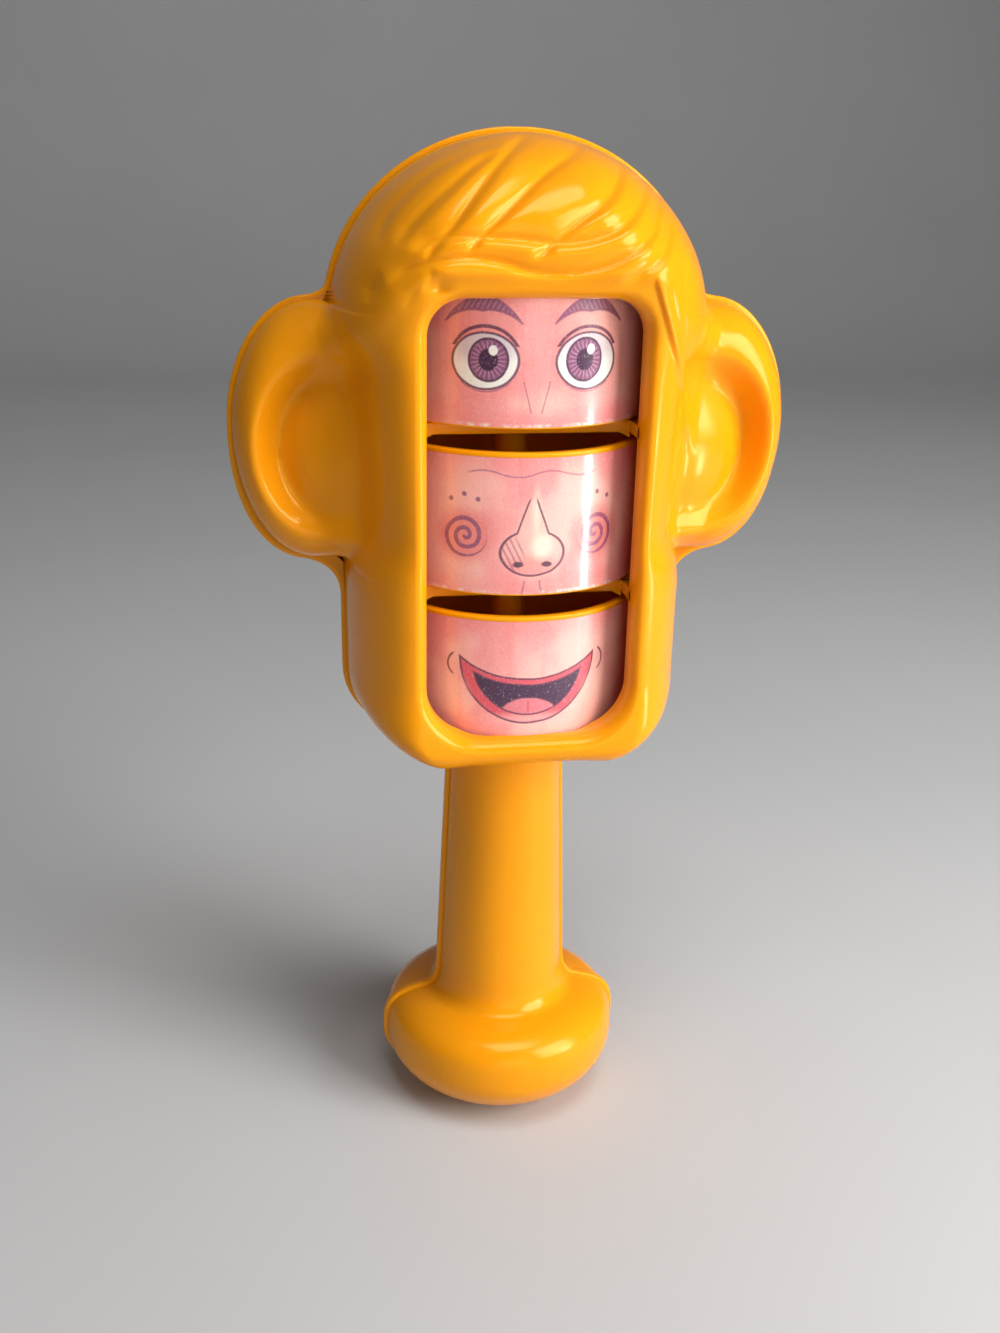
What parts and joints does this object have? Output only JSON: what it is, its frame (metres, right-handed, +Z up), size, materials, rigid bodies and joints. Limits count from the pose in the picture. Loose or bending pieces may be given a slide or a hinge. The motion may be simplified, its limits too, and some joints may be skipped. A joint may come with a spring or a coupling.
{
  "type": "face puzzle rattle",
  "caption": "Moulded plastic head-shaped hand rattle with a tall window and turning drums that mix eyes, nose and mouth",
  "frame": {"origin": "middle of the flat underside of the foot, on the drum axle's line", "axes": "+Z up along the drum axle and the handle, -Y out of the face window, +X to the viewer's right"},
  "size_m": [0.1024, 0.0558, 0.1916],
  "materials": {
    "yellow_plastic": "glossy golden yellow moulded plastic",
    "drum_plastic": "glossy orange-yellow moulded plastic",
    "printed_label": "laminated pink print with mauve line work",
    "pellet_plastic": "plain off-white pellets"
  },
  "bodies": {
    "housing": {"front_shell": "yellow_plastic", "back_shell": "yellow_plastic", "drum_axle": "yellow_plastic"},
    "top_drum": {"eyes_drum": "drum_plastic", "eyes_label": "printed_label"},
    "middle_drum": {"nose_drum": "drum_plastic", "nose_label": "printed_label"},
    "bottom_drum": {"mouth_drum": "drum_plastic", "mouth_label": "printed_label"},
    "pellets": {"rattle_pellets": "pellet_plastic"}
  },
  "joints": [
    {"name": "eyes_spin", "type": "hinge", "parent": "housing", "child": "top_drum", "pos_m": [0, 0, 0.1572], "axis": [0, 0, 1], "continuous": true},
    {"name": "nose_spin", "type": "hinge", "parent": "housing", "child": "middle_drum", "pos_m": [0, 0, 0.1282], "axis": [0, 0, 1], "continuous": true},
    {"name": "mouth_spin", "type": "hinge", "parent": "housing", "child": "bottom_drum", "pos_m": [0, 0, 0.0992], "axis": [0, 0, 1], "continuous": true},
    {"name": "pellets_hop", "type": "slide", "parent": "housing", "child": "pellets", "axis": [0, 0, 1], "range_m": [0, 0.02]}
  ]
}
